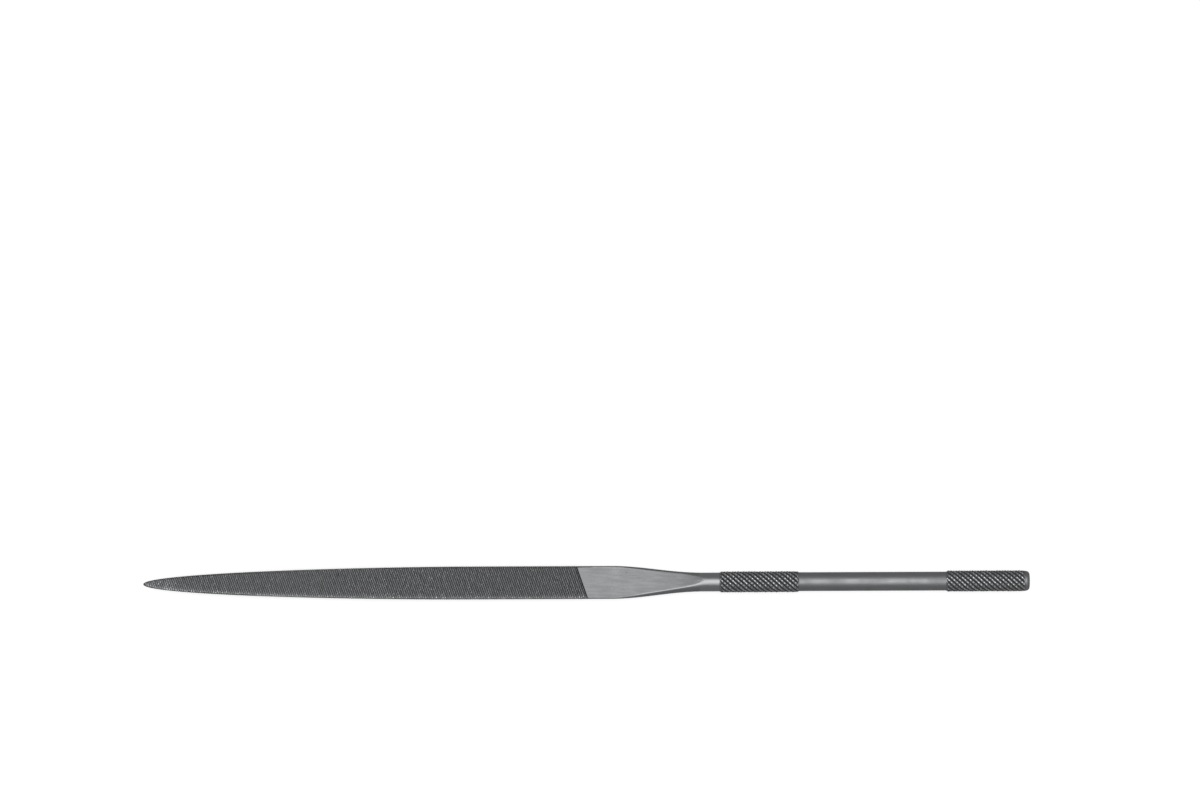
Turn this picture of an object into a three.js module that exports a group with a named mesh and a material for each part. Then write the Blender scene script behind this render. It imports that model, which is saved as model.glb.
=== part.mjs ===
// A flat needle file of 160 mm: a flat blade that tapers to a point, a shoulder whose ground flats run out
// into a round shank, and a handle with two diamond-knurled bands. The real tool is one bar of hardened
// tool steel, so the meshes are its machined zones, butted face to face along the shank's axis.
//
// Frame: X runs along the file from the point to the butt, Y across the blade, Z up through its thickness.
// The origin lies under the middle of the file, at the height of the knurls' lowest crests.
// Lengths are in millimetres. A station is a distance from the point, measured along the file.

import * as THREE from "three";

// Driving dimensions: lengths of the zones, from the point to the butt.
const cutLength = 80.3; // toothed blade
const shoulderLength = 22.2; // ground, without teeth
const neckLength = 1.5; // plain and round, in front of the first knurl
const frontKnurlLength = 14.4;
const midShankLength = 26.5;
const rearKnurlLength = 14.35;
const buttLength = 0.75; // rounded end behind the second knurl

// Driving dimensions: blade.
const bladeWidth = 5.95;
const bladeThickness = 1.3;
const pointThickness = 0.55;
const parallelLength = 22.3; // full width, in front of the shoulder
const evenThicknessLength = 18.3; // full thickness, in front of the shoulder
const taperFullness = 1.7; // higher makes the outline bulge more
const pointBluntness = 0.47; // 0.5 is a round nose, 1 is a sharp point
const noseLength = 0.9; // the point is rounded over its thickness here
const narrowestEdgeShare = 0.5; // most of the half width that a rounded edge may take

// Driving dimensions: shoulder, measured from the end of the teeth.
const waistStart = 4.2; // the outline starts to narrow here
const waistEndGap = 1.5; // and has the shank's width this far in front of the neck
const rampStart = 2.2; // the flats start to rise here
const rampEndGap = 1.5; // and have run out this far in front of the neck
const rampStraightShare = 0.55; // share of the rise that is one even slope
const rampHook = 7; // power of the rest, which lifts the last part quickly
const runOutShare = 0.995; // half thickness at the end of the flats, as a share of the shank's radius

// Driving dimensions: handle.
const shankDiameter = 3.4;
const knurlRise = 0.24; // the crests stand this far above the shank
const knurlDepth = 0.3;
const knurlStarts = 12; // helical grooves of each hand
const buttDrop = 0.14; // the butt's side lies this far below the crests
const buttRounding = 0.6; // radius lost to the rounded rim

// Mesh fineness.
const pointRings = 26;
const parallelRings = 6;
const shoulderRings = 24;
const flatSteps = 5; // across one flat, an odd number, so that one facet lies over the axis
const edgeSteps = 14; // round one edge
const roundSegments = 48;
const buttRings = 5;

const shankRadius = shankDiameter / 2;
const crestRadius = shankRadius + knurlRise;
const buttRadius = crestRadius - buttDrop;
const taperLength = cutLength - parallelLength;
const thicknessTaperLength = cutLength - evenThicknessLength;
const waistLength = shoulderLength - waistStart - waistEndGap;
const rampLength = shoulderLength - rampStart - rampEndGap;
const shoulderStart = cutLength;
const neckStart = shoulderStart + shoulderLength;
const frontKnurlStart = neckStart + neckLength;
const midShankStart = frontKnurlStart + frontKnurlLength;
const rearKnurlStart = midShankStart + midShankLength;
const buttStart = rearKnurlStart + rearKnurlLength;
const overallLength = buttStart + buttLength;

const clamp01 = (x) => Math.min(1, Math.max(0, x));
const smooth = (x) => clamp01(x) ** 2 * (3 - 2 * clamp01(x));
const mix = (a, b, share) => a + (b - a) * share;

// The blade's blank is the shank's bar pressed into an oval as high as the bar. Two flats cut that oval,
// and what is left of it on either side of them is the rounded edge.
const edgeBand = (bladeWidth / 2) * (1 - Math.sqrt(1 - (bladeThickness / shankDiameter) ** 2));

// Half the outline's width at a station of the blade or the shoulder.
function halfWidthAt(station) {
  if (station < taperLength) {
    const left = 1 - station / taperLength;
    return (bladeWidth / 2) * (1 - left ** taperFullness) ** pointBluntness;
  }
  const narrowing = smooth((station - shoulderStart - waistStart) / waistLength);
  return mix(bladeWidth / 2, shankRadius, narrowing);
}

// Half the distance between the two flats at a station.
function halfThicknessAt(station) {
  const left = 1 - clamp01(station / thicknessTaperLength);
  const tapered = mix(bladeThickness, pointThickness, left ** 2) / 2;
  const nose = Math.sqrt(1 - (1 - clamp01(station / noseLength)) ** 2);
  const along = clamp01((station - shoulderStart - rampStart) / rampLength);
  const rise = mix(along ** rampHook, along, rampStraightShare);
  return mix(tapered * nose, runOutShare * shankRadius, rise);
}

// Half the width of a flat. On the shoulder the oval keeps the bar's height, so the rising flats grow narrow.
function flatHalfWidthAt(station) {
  const halfWidth = halfWidthAt(station);
  if (station < shoulderStart) return halfWidth - Math.min(edgeBand, narrowestEdgeShare * halfWidth);
  return halfWidth * Math.sqrt(1 - (halfThicknessAt(station) / shankRadius) ** 2);
}

// One cross-section: the top flat, one rounded edge, the bottom flat and the other edge, turning from +Y to +Z.
function sectionAt(station) {
  const halfWidth = halfWidthAt(station);
  const halfThickness = halfThicknessAt(station);
  const flat = flatHalfWidthAt(station);
  const corner = Math.acos(flat / halfWidth); // the oval's own angle where an edge meets a flat
  const ovalHeight = halfThickness / Math.sin(corner);
  const ring = [];
  for (let side = 1; side >= -1; side -= 2) {
    for (let i = 0; i < edgeSteps; i++) {
      const angle = mix(-corner, corner, i / edgeSteps);
      ring.push([station, side * halfWidth * Math.cos(angle), side * ovalHeight * Math.sin(angle)]);
    }
    for (let i = 0; i < flatSteps; i++) {
      ring.push([station, side * mix(flat, -flat, i / flatSteps), side * halfThickness]);
    }
  }
  return ring;
}

// A closed skin through rings of equally many points, with a fan from a centre point over each end.
// splitsAcross says which diagonal divides the cell behind point j of ring i.
function loft(rings, firstCentre, lastCentre, splitsAcross = () => false) {
  const around = rings[0].length;
  const points = [...rings.flat(), firstCentre, lastCentre];
  const first = points.length - 2;
  const last = points.length - 1;
  const at = (i, j) => i * around + (j % around);
  const triangles = [];
  for (let j = 0; j < around; j++) {
    triangles.push(first, at(0, j + 1), at(0, j));
    triangles.push(last, at(rings.length - 1, j), at(rings.length - 1, j + 1));
    for (let i = 0; i < rings.length - 1; i++) {
      const [a, b, c, d] = [at(i, j), at(i, j + 1), at(i + 1, j + 1), at(i + 1, j)];
      if (splitsAcross(i, j)) triangles.push(a, b, d, b, c, d);
      else triangles.push(a, b, c, a, c, d);
    }
  }
  const geometry = new THREE.BufferGeometry();
  geometry.setAttribute("position", new THREE.Float32BufferAttribute(points.flat(), 3));
  geometry.setIndex(triangles);
  geometry.computeVertexNormals();
  return geometry;
}

// The toothed blade. Its rings are closer together towards the point, where the outline turns fastest.
function bladeGeometry() {
  const rings = [];
  for (let i = 1; i <= pointRings; i++) {
    rings.push(sectionAt(taperLength * (i / pointRings) ** 2));
  }
  for (let i = 1; i <= parallelRings; i++) {
    rings.push(sectionAt(mix(taperLength, cutLength, i / parallelRings)));
  }
  return loft(rings, [0, 0, 0], [cutLength, 0, 0]);
}

// The shoulder: flats that rise and narrow to a tongue while the edges turn into the round shank.
function shoulderGeometry() {
  const rings = [];
  for (let i = 0; i <= shoulderRings; i++) {
    rings.push(sectionAt(mix(shoulderStart, neckStart, i / shoulderRings)));
  }
  return loft(rings, [shoulderStart, 0, 0], [neckStart, 0, 0]);
}

// A plain round length of the shank, along X from its first station.
function roundGeometry(station, length) {
  const geometry = new THREE.CylinderGeometry(shankRadius, shankRadius, length, roundSegments);
  geometry.rotateZ(-Math.PI / 2);
  geometry.translate(station + length / 2, 0, 0);
  return geometry;
}

// A diamond-knurled band. Right-hand and left-hand grooves at 45 degrees cross on a checkerboard, so the
// points of a square grid are crests and valleys in turn, and each cell folds between its two valleys.
function knurlGeometry(station, length, startRadius, endRadius) {
  const around = 2 * knurlStarts;
  const spacing = (2 * Math.PI * crestRadius) / around;
  const rows = Math.max(2, Math.round(length / spacing));
  const ringOf = (row, radiusOf) =>
    Array.from({ length: around }, (_, j) => {
      const angle = (2 * Math.PI * j) / around;
      const radius = radiusOf(j);
      return [station + (length * row) / rows, radius * Math.cos(angle), radius * Math.sin(angle)];
    });
  const isCrest = (row, j) => (row + j) % 2 === 1;
  const rings = [ringOf(0, () => startRadius)];
  for (let row = 1; row < rows; row++) {
    rings.push(ringOf(row, (j) => (isCrest(row, j) ? crestRadius : crestRadius - knurlDepth)));
  }
  rings.push(ringOf(rows, () => endRadius));
  return loft(rings, [station, 0, 0], [station + length, 0, 0], isCrest);
}

// The butt: a disc whose rim is rounded from the knurl's width down to the flat end face.
function buttGeometry() {
  const profile = [new THREE.Vector2(0, 0)];
  for (let i = 0; i <= buttRings; i++) {
    const angle = (Math.PI / 2) * (i / buttRings);
    const radius = buttRadius - buttRounding * (1 - Math.cos(angle));
    profile.push(new THREE.Vector2(radius, buttLength * Math.sin(angle)));
  }
  profile.push(new THREE.Vector2(0, buttLength));
  const geometry = new THREE.LatheGeometry(profile, roundSegments);
  geometry.rotateZ(-Math.PI / 2);
  geometry.translate(buttStart, 0, 0);
  return geometry;
}

const steel = (colour, roughness) =>
  new THREE.MeshStandardMaterial({ color: colour, roughness, metalness: 1 });
const cutSteel = steel(0x898b8c, 0.4);
const groundSteel = steel(0xa0a1a3, 0.5);
const turnedSteel = steel(0xa2a3a4, 0.45);
const knurledSteel = steel(0x979899, 0.36);

const file = new THREE.Group();
file.position.set(-overallLength / 2, 0, crestRadius);

function addZone(name, geometry, material) {
  const zone = new THREE.Mesh(geometry, material);
  zone.name = name;
  file.add(zone);
}

addZone("cut_blade", bladeGeometry(), cutSteel);
addZone("shoulder", shoulderGeometry(), groundSteel);
addZone("neck", roundGeometry(neckStart, neckLength), turnedSteel);
addZone("front_knurl", knurlGeometry(frontKnurlStart, frontKnurlLength, shankRadius, shankRadius), knurledSteel);
addZone("mid_shank", roundGeometry(midShankStart, midShankLength), turnedSteel);
addZone("rear_knurl", knurlGeometry(rearKnurlStart, rearKnurlLength, shankRadius, buttRadius), knurledSteel);
addZone("butt_end", buttGeometry(), turnedSteel);

export default file;
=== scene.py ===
# %% [markdown]
# # A flat needle file, made for a close look
# A needle file is one slim bar of tool steel. Its front half is cut with hundreds of small teeth, its
# middle is ground to a shoulder, and its back half is a round handle with two knurled bands. The packed
# design gives every zone as a plain faceted solid in its right place. This lesson keeps those places and
# makes a fine surface for each zone, because what makes a file look like a file is its relief: rows of
# teeth, crossed grooves and worn crests.

import math

import bpy
import numpy as np
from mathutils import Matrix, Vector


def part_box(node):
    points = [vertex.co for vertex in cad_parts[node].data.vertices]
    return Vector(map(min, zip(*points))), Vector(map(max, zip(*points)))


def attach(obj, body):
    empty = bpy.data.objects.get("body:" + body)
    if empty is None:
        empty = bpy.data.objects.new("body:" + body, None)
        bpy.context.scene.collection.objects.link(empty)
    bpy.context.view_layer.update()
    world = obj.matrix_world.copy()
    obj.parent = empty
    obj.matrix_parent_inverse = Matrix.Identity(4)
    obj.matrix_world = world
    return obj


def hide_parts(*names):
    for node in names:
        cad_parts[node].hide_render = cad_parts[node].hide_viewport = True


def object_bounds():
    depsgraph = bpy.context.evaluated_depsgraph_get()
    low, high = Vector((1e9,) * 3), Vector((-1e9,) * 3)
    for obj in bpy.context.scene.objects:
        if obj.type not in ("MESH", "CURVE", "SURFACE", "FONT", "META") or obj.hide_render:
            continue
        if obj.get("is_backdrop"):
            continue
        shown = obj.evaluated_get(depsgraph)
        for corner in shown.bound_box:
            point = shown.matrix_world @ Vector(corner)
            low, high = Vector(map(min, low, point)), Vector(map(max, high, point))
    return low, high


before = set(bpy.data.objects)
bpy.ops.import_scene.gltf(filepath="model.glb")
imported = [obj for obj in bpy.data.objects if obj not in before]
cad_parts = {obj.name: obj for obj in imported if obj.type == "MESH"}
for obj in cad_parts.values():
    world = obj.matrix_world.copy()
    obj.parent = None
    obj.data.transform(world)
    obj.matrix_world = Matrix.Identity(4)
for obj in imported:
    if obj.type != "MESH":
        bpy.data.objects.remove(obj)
design_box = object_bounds()
print("zones:", ", ".join(sorted(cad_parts)))

# %% [markdown]
# ## Sizes
# Lengths are in metres. The ends of each zone, the blade's width and thickness and the handle's radii are
# read from the design's boxes, so the fine surfaces stay where the design is. Only the curves between
# those sizes are named again here. A *station* is a distance from the point, measured along the file.

# %% Where the zones begin and end
MM = 0.001
low, high = ({name: np.array(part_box(name)[end]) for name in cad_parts} for end in (0, 1))
TIP_X = low["cut_blade"][0]
AXIS_Z = (low["mid_shank"][2] + high["mid_shank"][2]) / 2
CUT_END, NECK_START, FRONT_KNURL_START, MID_SHANK_START, REAR_KNURL_START, BUTT_START, LENGTH = (
    high[name][0] - TIP_X
    for name in ("cut_blade", "shoulder", "neck", "front_knurl", "mid_shank", "rear_knurl", "butt_end")
)
BLADE_HALF_WIDTH = high["cut_blade"][1]
BLADE_HALF_THICKNESS = high["cut_blade"][2] - AXIS_Z
SHANK_RADIUS = high["mid_shank"][2] - AXIS_Z
CREST_RADIUS = high["front_knurl"][2] - AXIS_Z
BUTT_RADIUS = high["butt_end"][2] - AXIS_Z
print(f"length {LENGTH / MM:.2f} mm")
print(f"blade {2 * BLADE_HALF_WIDTH / MM:.2f} x {2 * BLADE_HALF_THICKNESS / MM:.2f} mm")
print(f"shank {2 * SHANK_RADIUS / MM:.2f} mm, knurled crests {2 * CREST_RADIUS / MM:.2f} mm across")

# %% The curves of the blade
PARALLEL_LENGTH = 22.3 * MM
EVEN_THICKNESS_LENGTH = 18.3 * MM
POINT_HALF_THICKNESS = 0.275 * MM
NOSE_LENGTH = 0.9 * MM
TAPER_FULLNESS = 1.7
POINT_BLUNTNESS = 0.47
WIDEST_EDGE_SHARE = 0.5
WAIST_START, WAIST_END_GAP = 4.2 * MM, 1.5 * MM
WAIST_LENGTH = NECK_START - CUT_END - WAIST_START - WAIST_END_GAP
RAMP_START, RAMP_END_GAP = 2.2 * MM, 1.5 * MM
RAMP_LENGTH = NECK_START - CUT_END - RAMP_START - RAMP_END_GAP
RAMP_STRAIGHT_SHARE, RAMP_HOOK = 0.55, 7
RAMP_TOP = 1.004 * SHANK_RADIUS


def clamp01(x):
    """x, but no lower than 0 and no higher than 1."""
    return np.clip(x, 0.0, 1.0)


def smooth(x):
    """0 below 0, 1 above 1 and 3 x^2 - 2 x^3 between them."""
    return clamp01(x) ** 2 * (3 - 2 * clamp01(x))


def mix(a, b, share):
    """a at share 0, b at share 1 and a straight line between them."""
    return a + (b - a) * share


def half_width(station):
    """The taper is (1 - left^fullness)^bluntness of the full width, where left is the share of the taper
    that is left to go. Behind it the outline is parallel, and then narrows smoothly to the shank."""
    left = 1 - clamp01(station / (CUT_END - PARALLEL_LENGTH))
    taper = BLADE_HALF_WIDTH * (1 - left**TAPER_FULLNESS) ** POINT_BLUNTNESS
    return mix(taper, SHANK_RADIUS, smooth((station - CUT_END - WAIST_START) / WAIST_LENGTH))


def half_thickness(station):
    """Quadratic taper to the point with a round nose. On the shoulder it rises along an even slope, to
    which a high power of the distance adds the quick last lift through the top of the round shank."""
    left = 1 - clamp01(station / (CUT_END - EVEN_THICKNESS_LENGTH))
    nose = np.sqrt(1 - (1 - clamp01(station / NOSE_LENGTH)) ** 2)
    tapered = mix(BLADE_HALF_THICKNESS, POINT_HALF_THICKNESS, left**2) * nose
    along = np.maximum(0, (station - CUT_END - RAMP_START) / RAMP_LENGTH)
    return mix(tapered, RAMP_TOP, mix(along**RAMP_HOOK, along, RAMP_STRAIGHT_SHARE))


EDGE_BAND = BLADE_HALF_WIDTH * (1 - math.sqrt(1 - (BLADE_HALF_THICKNESS / SHANK_RADIUS) ** 2))


def flat_half_width(station):
    """Half the width of the blade's flat: the outline less the rounded edge, which narrows at the point."""
    return half_width(station) - np.minimum(EDGE_BAND, WIDEST_EDGE_SHARE * half_width(station))


for station in (1 * MM, 30 * MM, 79 * MM, 95 * MM):
    print(f"station {station / MM:5.1f} mm: half width {half_width(station) / MM:.3f} mm, "
          f"half thickness {half_thickness(station) / MM:.3f} mm")

# %% [markdown]
# ## From arrays to a piece
# Every piece below is a grid of points worked out as whole arrays. One helper turns such arrays into a
# mesh, so that each later cell holds only its own shape. It also stores two things that the finishes need:
# a map, which unrolls the surface onto a square, and marks, which are numbers on the points, such as how
# high a point stands in the relief. A closed mesh uses each edge once in each direction, and its volume is
# positive when its faces look outwards. Both are cheap to test, so the helper prints them.

# %% The helper that makes a piece
MAP_NAME = "OFBake"


def corner_counts(faces):
    """How many corners each face has, in the order of the faces."""
    return np.concatenate([np.full(len(f), f.shape[1]) for f in faces])


def is_closed(faces, count):
    """Every directed edge a to b has exactly one partner b to a."""
    there = np.concatenate([(f * count + np.roll(f, -1, 1)).ravel() for f in faces])
    back = np.concatenate([(f + np.roll(f, -1, 1) * count).ravel() for f in faces])
    return len(np.unique(there)) == len(there) and np.array_equal(np.sort(there), np.sort(back))


def volume_of(points, faces):
    """The sum over triangles a, b, c of a . (b x c) / 6, each face being a fan from its first corner."""
    total = 0.0
    for f in faces:
        for k in range(1, f.shape[1] - 1):
            a, b, c = points[f[:, 0]], points[f[:, k]], points[f[:, k + 1]]
            total += np.einsum("ij,ij->", a, np.cross(b, c)) / 6
    return total


def make_piece(name, stands_for, points, faces, maps, marks, finishes, finish_of=None, flat=None,
               crease=30):
    """points is (n, 3). faces is a list of arrays of point numbers, one row a face, and maps gives the
    place of each of their corners on the square. finish_of and flat are lists of one number a face, and
    crease is the angle in degrees above which an edge between two smooth faces stays sharp."""
    mesh = bpy.data.meshes.new(name)
    counts = corner_counts(faces)
    corners = np.concatenate([f.ravel() for f in faces])
    mesh.vertices.add(len(points))
    mesh.vertices.foreach_set("co", np.ascontiguousarray(points, np.float32).ravel())
    mesh.loops.add(len(corners))
    mesh.loops.foreach_set("vertex_index", corners.astype(np.int32))
    mesh.polygons.add(len(counts))
    mesh.polygons.foreach_set("loop_start", (np.cumsum(counts) - counts).astype(np.int32))
    shaded_smooth = np.ones(len(counts), bool) if flat is None else ~np.concatenate(flat)
    mesh.polygons.foreach_set("use_smooth", shaded_smooth)
    for finish in finishes:
        mesh.materials.append(finish)
    if finish_of is not None:
        mesh.polygons.foreach_set("material_index", np.concatenate(finish_of).astype(np.int32))
    mesh.update(calc_edges=True)
    layer = mesh.uv_layers.new(name=MAP_NAME, do_init=False)
    places = np.concatenate([m.reshape(-1, 2) for m in maps])
    layer.uv.foreach_set("vector", places.astype(np.float32).ravel())
    for mark, values in marks.items():
        numbers = mesh.attributes.new(mark, "FLOAT", "POINT")
        numbers.data.foreach_set("value", values.astype(np.float32).ravel())
    mesh.set_sharp_from_angle(angle=math.radians(crease))
    piece = bpy.data.objects.new(name, mesh)
    bpy.context.scene.collection.objects.link(piece)
    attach(piece, "root")
    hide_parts(stands_for)
    print(f"{name}: {int((counts - 2).sum())} triangles, closed {is_closed(faces, len(points))}, "
          f"{volume_of(points, faces) / MM**3:.2f} mm3, mended {mesh.validate()}")


# %% [markdown]
# ## Finishes
# All zones are the same steel, so their finishes share their effects. Each effect is a node group that is
# built once and placed in every material with its own numbers. *Drawn lines* are the fine scratches that
# grinding and polishing leave along the bar. *Mottling* is the uneven tone of handled and oiled steel.
# *Wear, sheen and shade* reads the height mark on the mesh, which follows the teeth and knurls exactly, so it
# stays on them from every side. Crests and polished parts take a brighter colour, which on teeth and knurls
# is also a painted highlight for their glints, and hollows take a darker colour, which is painted shade.

# %% Small helpers for node trees
def new_group(name, inputs, outputs):
    """A shader node group with named float or vector sockets, and its input and output nodes."""
    group = bpy.data.node_groups.new(name, "ShaderNodeTree")
    for socket, default in inputs.items():
        kind = "NodeSocketVector" if default is None else "NodeSocketFloat"
        made = group.interface.new_socket(socket, in_out="INPUT", socket_type=kind)
        if default is not None:
            made.default_value = default
    for socket in outputs:
        group.interface.new_socket(socket, in_out="OUTPUT", socket_type="NodeSocketFloat")
    return group, group.nodes.new("NodeGroupInput"), group.nodes.new("NodeGroupOutput")


def feed(tree, socket, value):
    """Gives a socket its value, which is a number, a colour or the output of another node."""
    if isinstance(value, (int, float, tuple)):
        socket.default_value = value
    else:
        tree.links.new(value, socket)


def add_math(tree, operation, *values, clamp=False):
    """One Math node."""
    node = tree.nodes.new("ShaderNodeMath")
    node.operation, node.use_clamp = operation, clamp
    for socket, value in zip(node.inputs, values):
        feed(tree, socket, value)
    return node.outputs[0]


def add_noise(tree, vector, scale, detail=2.0, roughness=0.5):
    """One Noise texture, whose scale is a number of waves a metre."""
    node = tree.nodes.new("ShaderNodeTexNoise")
    feed(tree, node.inputs["Vector"], vector)
    feed(tree, node.inputs["Scale"], scale)
    node.inputs["Detail"].default_value = detail
    node.inputs["Roughness"].default_value = roughness
    return node.outputs["Fac"]


def add_range(tree, value, low_in, high_in, low_out=0.0, high_out=1.0):
    """One Map Range node, from a span of values to another, level outside the span and smooth inside it."""
    node = tree.nodes.new("ShaderNodeMapRange")
    node.interpolation_type = "SMOOTHSTEP"
    spans = {"From Min": low_in, "From Max": high_in, "To Min": low_out, "To Max": high_out}
    for socket, number in {"Value": value, **spans}.items():
        feed(tree, node.inputs[socket], number)
    return node.outputs["Result"]


# %% Drawn lines: noise stretched along the bar
group, given, result = new_group(
    "drawn_lines", {"Place": None, "Lines a metre": 9000.0, "Stretch": 0.012, "Slant": 0.0}, ["Lines"])
split = group.nodes.new("ShaderNodeSeparateXYZ")
group.links.new(given.outputs["Place"], split.inputs[0])
along = add_math(group, "MULTIPLY", split.outputs["X"], given.outputs["Stretch"])
across = add_math(group, "MULTIPLY_ADD", split.outputs["X"], given.outputs["Slant"], split.outputs["Y"])
join = group.nodes.new("ShaderNodeCombineXYZ")
group.links.new(along, join.inputs["X"])
group.links.new(across, join.inputs["Y"])
group.links.new(split.outputs["Z"], join.inputs["Z"])
lines = add_noise(group, join.outputs[0], given.outputs["Lines a metre"], 3.0, 0.6)
group.links.new(lines, result.inputs["Lines"])
drawn_lines = group
print("drawn_lines:", len(group.nodes), "nodes")

# %% Mottling: soft blotches, and small specks where a finer noise is high
SPECKS_TO_BLOTCHES = 13.0
SPECK_SPAN = (0.62, 0.74)

group, given, result = new_group(
    "mottling", {"Place": None, "Blotches a metre": 350.0}, ["Blotches", "Specks"])
blotches = add_noise(group, given.outputs["Place"], given.outputs["Blotches a metre"], 2.0, 0.55)
group.links.new(blotches, result.inputs["Blotches"])
fine = add_math(group, "MULTIPLY", given.outputs["Blotches a metre"], SPECKS_TO_BLOTCHES)
specks = add_range(group, add_noise(group, given.outputs["Place"], fine, 1.0), *SPECK_SPAN)
group.links.new(specks, result.inputs["Specks"])
mottling = group
print("mottling:", len(group.nodes), "nodes")

# %% Wear, sheen and shade: bright crests, partly a painted highlight, and painted shade in the hollows
WEAR_SHEEN_SPAN = 0.1

group, given, result = new_group(
    "wear_sheen_and_shade", {"Height": 1.0, "Uneven": 0.5, "Spread": 0.24, "Rubbed above": 0.9, "Dark below": 0.4},
    ["Rubbed", "Dark"])
uneven = add_math(group, "SUBTRACT", given.outputs["Uneven"], 0.5)
height = add_math(group, "MULTIPLY_ADD", uneven, given.outputs["Spread"], given.outputs["Height"])
# Rubbed is the share of the bright colour on crests and polish, which is also a painted highlight on teeth
# and knurls. Dark is the share of the dark colour that paints shade in the hollows.
rub_end = add_math(group, "ADD", given.outputs["Rubbed above"], WEAR_SHEEN_SPAN)
group.links.new(add_range(group, height, given.outputs["Rubbed above"], rub_end), result.inputs["Rubbed"])
group.links.new(add_range(group, height, 0.0, given.outputs["Dark below"], 1.0, 0.0), result.inputs["Dark"])
wear_sheen_and_shade = group
print("wear_sheen_and_shade:", len(group.nodes), "nodes")


# %% One recipe for every steel
STAIN_SPAN = (0.35, 0.7)
LINE_SPAN = (0.35, 0.65)
GLOSS_SPAN = (0.3, 0.7)
LINE_ROUGHNESS = 0.10
SPECK_PIT = -0.6


def use_group(tree, group, **values):
    """A node that holds the group. Underscores in a name stand for spaces in its socket."""
    node = tree.nodes.new("ShaderNodeGroup")
    node.node_tree = group
    for name, value in values.items():
        feed(tree, node.inputs[name.replace("_", " ")], value)
    return node


def add_mix(tree, kind, share, a, b):
    """One Mix node of numbers (FLOAT) or colours (RGBA): a at share 0 and b at share 1."""
    node = tree.nodes.new("ShaderNodeMix")
    node.data_type = kind
    for socket, value in {"Factor": share, "A": a, "B": b}.items():
        feed(tree, node.inputs[socket], (*value, 1.0) if isinstance(value, tuple) else value)
    return node.outputs["Result"]


def steel(name, body, dark, bright, rough, rub_rough, lines, stretch, slant, line_depth, blotches, wear_sheen_above,
          dark_below, stain, streak, spread=0.24, patchy=0.15):
    """body, dark and bright are the colours of the plain metal, of stains and of the painted shade in
    hollows, and of crests and polished parts, which on the teeth and knurls is also a painted highlight.
    stain and streak say how much of the dark colour the blotches and the lines take, and patchy how far
    the blotches change the roughness."""
    material = bpy.data.materials.new(name)
    material.use_nodes = True
    tree = material.node_tree
    shader = tree.nodes["Principled BSDF"]
    shader.inputs["Metallic"].default_value = 1.0
    place = tree.nodes.new("ShaderNodeTexCoord").outputs["Object"]
    height = tree.nodes.new("ShaderNodeAttribute")
    height.attribute_name = "height"
    drawn = use_group(tree, drawn_lines, Place=place, Lines_a_metre=lines, Stretch=stretch, Slant=slant)
    mottle = use_group(tree, mottling, Place=place, Blotches_a_metre=blotches)
    relief_sheen_shade = use_group(tree, wear_sheen_and_shade, Height=height.outputs["Fac"], Uneven=mottle.outputs["Blotches"],
                     Spread=spread, Rubbed_above=wear_sheen_above, Dark_below=dark_below)
    stained = add_range(tree, mottle.outputs["Blotches"], *STAIN_SPAN, 0.0, stain)
    lined = add_range(tree, drawn.outputs["Lines"], *LINE_SPAN, 0.0, streak)
    specked = add_math(tree, "MULTIPLY_ADD", mottle.outputs["Specks"], streak, lined)
    toned = add_mix(tree, "RGBA", add_math(tree, "ADD", stained, specked, clamp=True), body, dark)
    # The dark colour mixed in by depth is painted shade in the hollows, and the bright colour on the crests
    # is partly wear and partly a painted highlight.
    hollow = add_mix(tree, "RGBA", relief_sheen_shade.outputs["Dark"], toned, dark)
    worn_sheen = add_mix(tree, "RGBA", relief_sheen_shade.outputs["Rubbed"], hollow, bright)
    tree.links.new(worn_sheen, shader.inputs["Base Color"])
    least, most = rough * (1 - patchy), rough * (1 + patchy)
    uneven = add_range(tree, mottle.outputs["Blotches"], *GLOSS_SPAN, least, most)
    scratched = add_math(tree, "MULTIPLY_ADD", drawn.outputs["Lines"], LINE_ROUGHNESS, -LINE_ROUGHNESS / 2)
    dull = add_math(tree, "ADD", uneven, scratched)
    gloss = add_mix(tree, "FLOAT", relief_sheen_shade.outputs["Rubbed"], dull, rub_rough)
    tree.links.new(gloss, shader.inputs["Roughness"])
    grit = add_math(tree, "MULTIPLY_ADD", mottle.outputs["Specks"], SPECK_PIT, drawn.outputs["Lines"])
    bump = tree.nodes.new("ShaderNodeBump")
    bump.inputs["Distance"].default_value = line_depth
    tree.links.new(grit, bump.inputs["Height"])
    tree.links.new(bump.outputs["Normal"], shader.inputs["Normal"])
    print(f"{name}: {len(tree.nodes)} nodes")
    return material


# %% The four steels
# On the teeth the bright colour of the crests is partly wear and partly a painted highlight, and the
# near-black colour of the roots and hollows is painted shade.
cut_steel = steel("cut_steel", body=(0.25, 0.255, 0.26), dark=(0.03, 0.031, 0.032), bright=(0.68, 0.69, 0.70),
                  rough=0.40, rub_rough=0.26, lines=14000, stretch=0.5, slant=0.0, line_depth=2e-6,
                  blotches=2600, wear_sheen_above=0.80, dark_below=0.62, stain=0.3, streak=0.2, spread=0.7)
# On the shoulder the dark colour also paints shade at the tongue's end, and the bright colour is the neck's
# polish and, along the rolled corner, also a painted highlight.
ground_steel = steel("ground_steel", body=(0.355, 0.36, 0.365), dark=(0.24, 0.245, 0.25),
                     bright=(0.40, 0.405, 0.41), rough=0.50, rub_rough=0.32, lines=2600, stretch=0.10,
                     slant=0.05, line_depth=5e-6, blotches=240, wear_sheen_above=0.80, dark_below=0.35,
                     stain=0.05, streak=0.35, patchy=0.03)
turned_steel = steel("turned_steel", body=(0.37, 0.375, 0.38), dark=(0.26, 0.265, 0.27),
                     bright=(0.6, 0.61, 0.62), rough=0.45, rub_rough=0.28, lines=7000, stretch=0.02,
                     slant=0.0, line_depth=2e-6,
                     blotches=260, wear_sheen_above=1.4, dark_below=0.01, stain=0.35, streak=0.25)
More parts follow.
